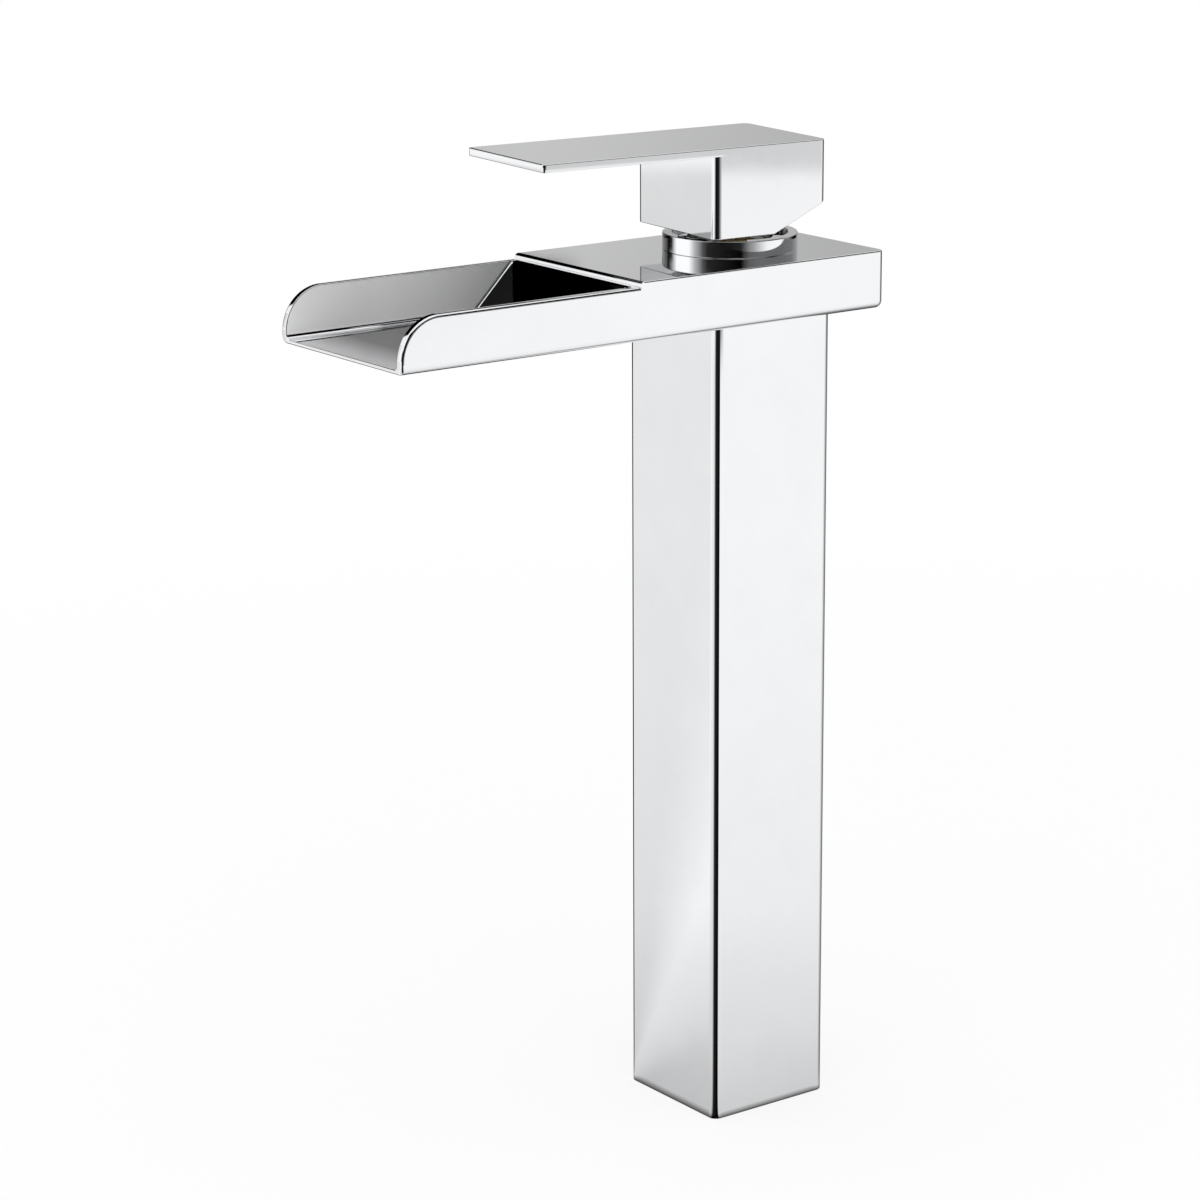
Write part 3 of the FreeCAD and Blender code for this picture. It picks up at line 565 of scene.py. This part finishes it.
# %% Chrome
chrome, tree, shader, place = start_material("Polished_Chrome", Metallic=1.0)
gloss = use_group(tree, "Uneven_Gloss", Vector=place, Patch_mm=14.0, Smooth=0.025, Hazy=0.05)
hairs = use_group(tree, "Wiping_Hairlines", Vector=place, Line_mm=0.22, Amount=0.35)
waves = use_group(tree, "Buffing_Waves", Vector=place, Wave_mm=26.0)
shade_between(tree, gloss.outputs["Mask"], (0.865, 0.872, 0.885), (0.885, 0.89, 0.9), shader)
tree.links.new(work_out(tree, "MULTIPLY_ADD", hairs.outputs["Mask"], 0.05, gloss.outputs["Roughness"]),
               shader.inputs["Roughness"])
raise_surface(tree, shader, (hairs.outputs["Height"], 0.0002), (waves.outputs["Height"], 0.004))
for piece in CHROME_PIECES:
    piece.data.materials.clear()
    piece.data.materials.append(chrome)

# %% [markdown]
# The trough is not polished as far as the outside is. Its side walls keep a satin face with upright strokes,
# because a wheel can't reach between them, and they are painted paler towards the open front, a painted shade
# towards the lip. Its floor is painted darker towards the back, a painted shade under the cover, and the
# sloping plate is painted nearly black, a painted shade under the lip.

# %% Satin walls of the trough
satin_with_painted_shade, tree, shader, place = start_material("Satin_Chrome_Painted_Shade", Metallic=0.05)
strokes = add_node(tree, "ShaderNodeMapping", Vector=place, Scale=(1, 1, 0.04))
brushed = add_node(tree, "ShaderNodeTexNoise", Vector=strokes.outputs[0], Scale=95.0, Detail=3.0, Roughness=0.4)
along_y = add_node(tree, "ShaderNodeSeparateXYZ", Vector=place).outputs["Y"]
# Painted shade: the walls are painted paler towards the open front and darker towards the lip. The upright
# strokes add their own tone on top.
painted_shade_to_rear = add_node(tree, "ShaderNodeMapRange", Value=along_y, From_Min=-0.06, From_Max=-0.14,
                   To_Min=-0.1, To_Max=0.6)
strokes_and_painted_shade = work_out(tree, "ADD", brushed.outputs[0], painted_shade_to_rear.outputs[0])
gloss = use_group(tree, "Uneven_Gloss", Vector=place, Patch_mm=10.0, Smooth=0.3, Hazy=0.4)
shade_between(tree, strokes_and_painted_shade, (0.84, 0.845, 0.85), (1.0, 1.0, 1.0), shader)
tree.links.new(gloss.outputs["Roughness"], shader.inputs["Roughness"])

# %% Trough floor and sloping plate
# Painted shade: each entry gives the tone at the back, the tone at the front, and the Y in metres where the
# change starts and ends. The trough floor is painted dark at the back, and the sloping plate is painted nearly
# black.
PAINTED_SHADE_TONES = {"Trough_Chrome": (0.15, 1.0, -0.1295, -0.145), "Dark_Chrome": (0.012, 0.016, -0.078, -0.148)}
painted_shade_chrome = {}
for name, (rear_tone, front_tone, rear_y, front_y) in PAINTED_SHADE_TONES.items():
    painted_shade_chrome[name], tree, shader, place = start_material(name, Metallic=1.0)
    along_y = add_node(tree, "ShaderNodeSeparateXYZ", Vector=place).outputs["Y"]
    painted_shade_share = add_node(tree, "ShaderNodeMapRange", Value=along_y, From_Min=rear_y, From_Max=front_y)
    gloss = use_group(tree, "Uneven_Gloss", Vector=place, Patch_mm=12.0, Smooth=0.04, Hazy=0.09)
    waves = use_group(tree, "Buffing_Waves", Vector=place, Wave_mm=18.0)
    shade_between(tree, painted_shade_share.outputs[0], (rear_tone, rear_tone, rear_tone * 1.03),
                  (front_tone, front_tone, front_tone * 1.01), shader)
    tree.links.new(gloss.outputs["Roughness"], shader.inputs["Roughness"])
    raise_surface(tree, shader, (waves.outputs["Height"], 0.004))


# %% Which faces get them
def coat(piece, material, test):
    """Gives another material to the faces that pass the test."""
    piece.data.materials.append(material)
    count = 0
    for face in piece.data.polygons:
        if test(face.center / mm, face.normal):
            face.material_index, count = len(piece.data.materials) - 1, count + 1
    print(piece.name, material.name, count, "faces")


coat(channel, satin_with_painted_shade, lambda p, n: p.y < lip_front + 1 and p.z > head_floor
     and abs(n.x) > 0.97 and same(abs(p.x), inner_half, 0.1))
coat(channel, painted_shade_chrome["Trough_Chrome"], lambda p, n: p.y < lip_front + 1
     and n.z > 0.97 and same(p.z, head_floor, 0.1))
# The sloping plate's face gets the painted shade, nearly black.
coat(weir, painted_shade_chrome["Dark_Chrome"], lambda p, n: n.y < -0.05 and abs(n.x) < 0.01 and abs(p.x) < 1)

# %% [markdown]
# ## The working parts inside
# The measured solids of the inner parts keep their shape, and each gets the finish of its own trade: turned
# brass, moulded rubber and plastic, lapped ceramic and ground steel. They show from below, through the gap
# under the handle, and wherever someone takes the tap apart.

# %% Turned brass
brass, tree, shader, place = start_material("Turned_Brass", Metallic=1.0)
gloss = use_group(tree, "Uneven_Gloss", Vector=place, Patch_mm=6.0, Smooth=0.24, Hazy=0.38)
rings = use_group(tree, "Turning_Rings", Vector=place, Pitch_mm=0.35, Wander=0.5)
shade_between(tree, gloss.outputs["Mask"], (0.62, 0.46, 0.2), (0.74, 0.58, 0.3), shader)
tree.links.new(gloss.outputs["Roughness"], shader.inputs["Roughness"])
raise_surface(tree, shader, (rings.outputs["Height"], 0.01))

# %% Ground steel
steel, tree, shader, place = start_material("Ground_Steel", Metallic=1.0)
gloss = use_group(tree, "Uneven_Gloss", Vector=place, Patch_mm=3.0, Smooth=0.22, Hazy=0.34)
rings = use_group(tree, "Turning_Rings", Vector=place, Pitch_mm=0.2, Wander=0.3)
shade_between(tree, gloss.outputs["Mask"], (0.5, 0.51, 0.52), (0.6, 0.61, 0.62), shader)
tree.links.new(gloss.outputs["Roughness"], shader.inputs["Roughness"])
raise_surface(tree, shader, (rings.outputs["Height"], 0.004))


# %% Rubber and plastics
def moulded(name, dark, light, smooth, hazy, grain, depth):
    """A moulded finish: drifting tone, uneven gloss and the grain of the mould."""
    material, tree, shader, place = start_material(name)
    gloss = use_group(tree, "Uneven_Gloss", Vector=place, Patch_mm=5.0, Smooth=smooth, Hazy=hazy)
    skin = use_group(tree, "Mould_Grain", Vector=place, Grain_mm=grain)
    shade_between(tree, skin.outputs["Mask"], dark, light, shader)
    tree.links.new(gloss.outputs["Roughness"], shader.inputs["Roughness"])
    raise_surface(tree, shader, (skin.outputs["Height"], depth))
    return material


rubber = moulded("Seal_Rubber", (0.022, 0.022, 0.023), (0.04, 0.04, 0.041), 0.55, 0.75, 0.4, 0.02)
cartridge_grey = moulded("Cartridge_Plastic", (0.64, 0.65, 0.66), (0.76, 0.77, 0.78), 0.36, 0.5, 0.5, 0.012)
plug_grey = moulded("Plug_Plastic", (0.62, 0.62, 0.63), (0.72, 0.72, 0.73), 0.14, 0.24, 0.6, 0.006)

# %% Lapped ceramic
ceramic, tree, shader, place = start_material("Lapped_Ceramic")
gloss = use_group(tree, "Uneven_Gloss", Vector=place, Patch_mm=4.0, Smooth=0.08, Hazy=0.16)
specks = add_node(tree, "ShaderNodeTexVoronoi", Vector=place, Scale=1500.0)
shade_between(tree, specks.outputs["Distance"], (0.78, 0.76, 0.72), (0.9, 0.89, 0.86), shader)
tree.links.new(gloss.outputs["Roughness"], shader.inputs["Roughness"])
raise_surface(tree, shader, (specks.outputs["Distance"], 0.001))

# %% Finish each measured part
FINISHES = {"raw_brass": brass, "pin_steel": steel, "seal_rubber": rubber, "cartridge_plastic": cartridge_grey,
            "plug_plastic": plug_grey, "disc_ceramic": ceramic, "polished_chrome": chrome}
slot_of = {part["node"]: part["material_slot"] for part in frame["record"]["subparts"]}
for name, node in frame["nodes"].items():
    if not node.hide_render:
        node.data.materials.clear()
        node.data.materials.append(FINISHES[slot_of[name]])
print("finished parts:", sum(not node.hide_render for node in frame["nodes"].values()))

# %% [markdown]
# ## The studio
# A polished tap is photographed in a white tent with a few black strips. The flat faces mirror plain white
# or grey, and each rounded edge squeezes the whole tent into a thin line, so that a strip becomes the fine
# dark line that gives the edge its shape. The tent here is seen only in reflections.

# %% Ramps and blends
def tone_ramp(tree, factor, tones):
    """A ColorRamp of greys, from a list of places and tones."""
    ramp = add_node(tree, "ShaderNodeValToRGB", Fac=factor)
    while len(ramp.color_ramp.elements) < len(tones):
        ramp.color_ramp.elements.new(0.5)
    for element, (position, tone) in zip(ramp.color_ramp.elements, sorted(tones.items())):
        element.position, element.color = position, (tone, tone, tone, 1)
    return ramp.outputs["Color"]


def strips(tree, place, tones):
    """A brightness for each direction round the tap, given as degrees from the front towards the right."""
    turned = add_node(tree, "ShaderNodeMapping", Vector=place, Rotation=(0, 0, radians(90)))
    around = add_node(tree, "ShaderNodeTexGradient", {"gradient_type": "RADIAL"}, Vector=turned.outputs[0])
    return tone_ramp(tree, around.outputs["Fac"], {0.5 + turn / 360: tone for turn, tone in tones.items()})


def blend(tree, measure, start, end, low, high):
    """Goes from one grey to another while a measure goes from start to end."""
    share = add_node(tree, "ShaderNodeMapRange", {"interpolation_type": "SMOOTHSTEP"}, Value=measure,
                     From_Min=start, From_Max=end)
    mixed = add_node(tree, "ShaderNodeMix", {"data_type": "FLOAT"})
    for socket, value in zip([s for s in mixed.inputs if s.enabled], (share.outputs[0], low, high)):
        tree.links.new(value, socket)
    return mixed.outputs[0]


def see_only_in_mirrors(thing):
    """Hides a stage object from the camera, from shadows and from soft light."""
    thing.visible_camera = thing.visible_diffuse = thing.visible_shadow = False
    thing.visible_transmission = thing.visible_volume_scatter = False

# %% Tones of the tent and of the mirrored floor
# Each strip stands at its bearing in degrees, from the front (0) towards the right (90).
LOW_WALL = {-180: 0.2, -150: 0.4, -131: 0.46, -124: 0.6, -118: 0.5, -111: 0.3, -85: 0.11, -76: 0.0,
            -64: 0.02, -57: 0.7, -50: 1.2, -22: 1.2, -10: 0.54, -2: 0.31, 5: 0.1, 14: 0.02, 71: 0.0,
            85: 0.12, 100: 0.16, 150: 0.16, 180: 0.2}
RIM_WALL = {-180: 0.2, -150: 0.4, -131: 0.46, -124.7: 0.58, -124.2: 0.02, -113: 0.02, -111: 0.3, -85: 0.11,
            -76: 0.0, -67: 0.24, -57: 0.7, -50: 1.2, -22: 1.2, -10: 0.54, -2: 0.31, 5: 0.1, 14: 0.02,
            71: 0.0, 85: 0.12, 100: 0.16, 150: 0.16, 180: 0.2}
BAND_WALL = {-180: 0.3, -150: 0.4, -125: 0.5, -124.2: 0.02, -113: 0.02, -111: 0.4, -85: 0.11, -76: 0.0,
             -66: 0.3, -57: 0.8, -50: 1.2, -22: 1.2, -10: 0.8, 8: 0.3, 26: 0.0, 71: 0.0, 90: 0.5, 105: 0.67,
             150: 0.67, 180: 0.3}
HIGH_WALL = {-180: 0.5, -128: 0.5, -125: 0.0, -67: 0.0, -65: 1.0, 8: 1.0, 26: 0.0, 164: 0.0, 172: 0.5,
             180: 0.5}
ROOF = {-180: 1.0, -114: 1.0, -112: 0.0, -67: 0.0, -65: 1.0, 8: 1.0, 14: 0.0, 164: 0.0, 170: 1.0, 180: 1.0}
NEAR_FLOOR = {-180: 0.25, -173: 0.18, -158: 0.08, -148: 0.05, -100: 0.08, -88: 0.08, -86: 0.0, -69: 0.0,
              -66: 1.05, -56: 1.05, -54: 0.9, -50: 0.9, -45: 1.1, -20: 0.95, 0: 0.9, 20: 0.02, 71: 0.0,
              74: 1.04, 134: 1.03, 139: 0.95, 148: 0.83, 160: 0.55, 172: 0.3, 180: 0.25}
FAR_FLOOR = {-180: 0.07, -174: 0.0, -159: 0.0, -150: 0.3, -120: 0.5, -100: 0.1, -86: 0.0, -69: 0.0,
             -66: 0.78, -57: 0.8, -50: 0.95, 0: 1.1, 20: 0.1, 26: 0.0, 71: 0.02, 76: 0.08, 85: 0.25,
             96: 0.47, 107: 0.76, 117: 1.0, 125: 1.05, 148: 1.05, 153: 0.74, 158: 0.6, 167: 0.31, 174: 0.18,
             180: 0.07}
HORIZON = {-180: 0.07, -174: 0.0, -159: 0.0, -150: 0.3, -120: 0.5, -100: 0.1, -86: 0.0, -69: 0.0, -66: 1.03,
           0: 1.1, 20: 0.1, 26: 0.0, 71: 0.02, 76: 0.08, 96: 0.47, 107: 0.58, 117: 0.69, 125: 0.75,
           148: 0.85, 158: 0.6, 174: 0.18, 180: 0.07}
# Painted shadow: the mirrored floor's tone by distance from the column's foot, nearly black within the last few
# millimetres.
PAINTED_FOOT_SHADOW = {0: 0.05, 0.005: 0.08, 0.0064: 0.66, 0.06: 0.78, 0.185: 0.92, 0.44: 0.97, 0.8: 1.0}
WALL_BANDS = ((0.83, 0.838, RIM_WALL), (0.885, 0.905, BAND_WALL), (1.12, 1.16, HIGH_WALL))

# %% Tent wall and roof
tent_radius, tent_height, roof_edge, soft_edge = 3.2, 3.0, 2.1, 0.05
bpy.ops.object.select_all(action="DESELECT")
bpy.ops.mesh.primitive_cylinder_add(vertices=128, radius=tent_radius, depth=tent_height,
                                    end_fill_type="NOTHING", location=(0, 0, tent_height / 2))
tent_wall = settle(bpy.context.object)
tent_wall.name = "tent_wall"
bpy.ops.object.select_all(action="DESELECT")
bpy.ops.mesh.primitive_circle_add(vertices=128, radius=tent_radius, fill_type="NGON",
                                  location=(0, 0, tent_height))
tent_roof = bpy.context.object
tent_roof.name = "tent_roof"


def glow(thing):
    """Starts a glowing material on a tent part, and gives its tree and Object coordinates."""
    see_only_in_mirrors(thing)
    material, tree, shader, place = start_material(thing.name.title(), Base_Color=(0, 0, 0, 1),
                                                   Specular_IOR_Level=0.0, Emission_Strength=1.0)
    thing.data.materials.append(material)
    return tree, place, shader.inputs["Emission Color"]


tree, place, result = glow(tent_wall)
height = add_node(tree, "ShaderNodeSeparateXYZ", Vector=place).outputs["Z"]
tones = strips(tree, place, LOW_WALL)
for start, end, above in WALL_BANDS:
    tones = blend(tree, height, start, end, tones, strips(tree, place, above))
tree.links.new(tones, result)

tree, place, result = glow(tent_roof)
reach = work_out(tree, "LENGTH", place, kind="ShaderNodeVectorMath")
all_white = strips(tree, place, {-180: 1.0, 180: 1.0})
tree.links.new(blend(tree, reach, roof_edge - soft_edge, roof_edge + soft_edge, all_white,
                     strips(tree, place, ROOF)), result)

# %% [markdown]
# The camera sees a white floor that keeps the tap's shadow near the foot. A mirror sees strips instead,
# darkened close to the foot by a painted shadow. Their bearing is taken from the column's outline and not from
# its middle, so that they stay straight in its faces.

# %% Floor: how far from the column
floor_size, foot_half = 24.0, 0.020
bpy.ops.object.select_all(action="DESELECT")
bpy.ops.mesh.primitive_plane_add(size=floor_size)
floor = bpy.context.object
floor.name = "floor"
material, tree, shader, place = start_material("Pale_Floor", Base_Color=(0.95, 0.95, 0.95, 1), Roughness=0.9)
vector = "ShaderNodeVectorMath"
nearest = work_out(tree, "MAXIMUM", place, (-foot_half, -foot_half, 0), kind=vector)
nearest = work_out(tree, "MINIMUM", nearest, (foot_half, foot_half, 0), kind=vector)
outward = work_out(tree, "SUBTRACT", place, nearest, kind=vector)
away = work_out(tree, "LENGTH", outward, kind=vector)

# %% Floor: for the camera
shadow_start, shadow_end, near_share = 0.1, 0.9, 0.82
path = add_node(tree, "ShaderNodeLightPath")
white = add_node(tree, "ShaderNodeEmission", Color=(1, 1, 1, 1), Strength=1.0)
whiter = add_node(tree, "ShaderNodeMapRange", {"interpolation_type": "SMOOTHSTEP"}, Value=away,
                  From_Min=shadow_start, From_Max=shadow_end, To_Min=near_share, To_Max=1.0)
watched = work_out(tree, "MAXIMUM", path.outputs["Is Camera Ray"], path.outputs["Is Transmission Ray"])
plain = add_node(tree, "ShaderNodeMixShader", Fac=work_out(tree, "MULTIPLY", watched, whiter.outputs[0]))
tree.links.new(shader.outputs[0], plain.inputs[1])
tree.links.new(white.outputs[0], plain.inputs[2])

# %% Floor: for mirrors
near_end, far_start, far_end, horizon_start = 1.2, 1.5, 2.05, 2.2
# The strips near the foot are multiplied by the painted shadow.
near_floor = work_out(tree, "MULTIPLY", strips(tree, outward, NEAR_FLOOR), tone_ramp(tree, away, PAINTED_FOOT_SHADOW))
far_floor = blend(tree, away, far_end, horizon_start, strips(tree, outward, FAR_FLOOR),
                  strips(tree, outward, HORIZON))
mirrored = add_node(tree, "ShaderNodeEmission", Strength=1.0,
                    Color=blend(tree, away, near_end, far_start, near_floor, far_floor))
whole = add_node(tree, "ShaderNodeMixShader", Fac=path.outputs["Is Glossy Ray"])
tree.links.new(plain.outputs[0], whole.inputs[1])
tree.links.new(mirrored.outputs[0], whole.inputs[2])
tree.links.new(whole.outputs[0], tree.nodes["Material Output"].inputs["Surface"])
floor.data.materials.append(material)

# %% World
world = bpy.data.worlds.new("Studio_Air")
bpy.context.scene.world = world
world.use_nodes = True
tree = world.node_tree
soft = tree.nodes["Background"]
soft.inputs["Color"].default_value = (0.985, 0.99, 1.0, 1)
soft.inputs["Strength"].default_value = 0.55
white = add_node(tree, "ShaderNodeBackground", Color=(1, 1, 1, 1), Strength=1.0)
path = add_node(tree, "ShaderNodeLightPath")
seen = work_out(tree, "MAXIMUM", path.outputs["Is Glossy Ray"], path.outputs["Is Transmission Ray"])
seen = work_out(tree, "MAXIMUM", path.outputs["Is Camera Ray"], seen)
air = add_node(tree, "ShaderNodeMixShader", Fac=seen)
tree.links.new(soft.outputs[0], air.inputs[1])
tree.links.new(white.outputs[0], air.inputs[2])
tree.links.new(air.outputs[0], tree.nodes["World Output"].inputs["Surface"])

# %% Lamp
softbox = bpy.data.lights.new("overhead_softbox", "AREA")
softbox.shape, softbox.size, softbox.energy = "SQUARE", 1.8, 20.0
lamp = bpy.data.objects.new("overhead_softbox", softbox)
bpy.context.scene.collection.objects.link(lamp)
lamp.location = (0.25, -0.3, 1.7)
lamp.rotation_euler = (-lamp.location).to_track_quat("-Z", "Y").to_euler()
lamp.visible_glossy = False

# %% [markdown]
# ## The camera
# The angles, the lens and the distance come from matching the tap's corners with the photograph. Back, right
# and up are the camera's three axes, and the camera stands back from the point that it aims at.

# %% Camera
azimuth, elevation, distance = radians(52.769), radians(14.560), 1.2970
aim_right, aim_up = -0.01993, 0.17022
back = Vector((sin(azimuth) * cos(elevation), -cos(azimuth) * cos(elevation), sin(elevation)))
right = Vector((cos(azimuth), sin(azimuth), 0))
up = back.cross(right)
camera = bpy.data.objects.new("camera", bpy.data.cameras.new("camera"))
bpy.context.scene.collection.objects.link(camera)
stand = Matrix.Translation(back * distance + right * aim_right + up * aim_up)
camera.matrix_world = stand @ Matrix((right, up, back)).transposed().to_4x4()
camera.data.sensor_width, camera.data.lens = 36.0, 114.33
camera.data.shift_x, camera.data.shift_y = -0.0565, -0.0142
camera.data.clip_start, camera.data.clip_end = 0.05, 60.0
bpy.context.scene.camera = camera
bpy.context.scene.view_settings.view_transform = "Standard"
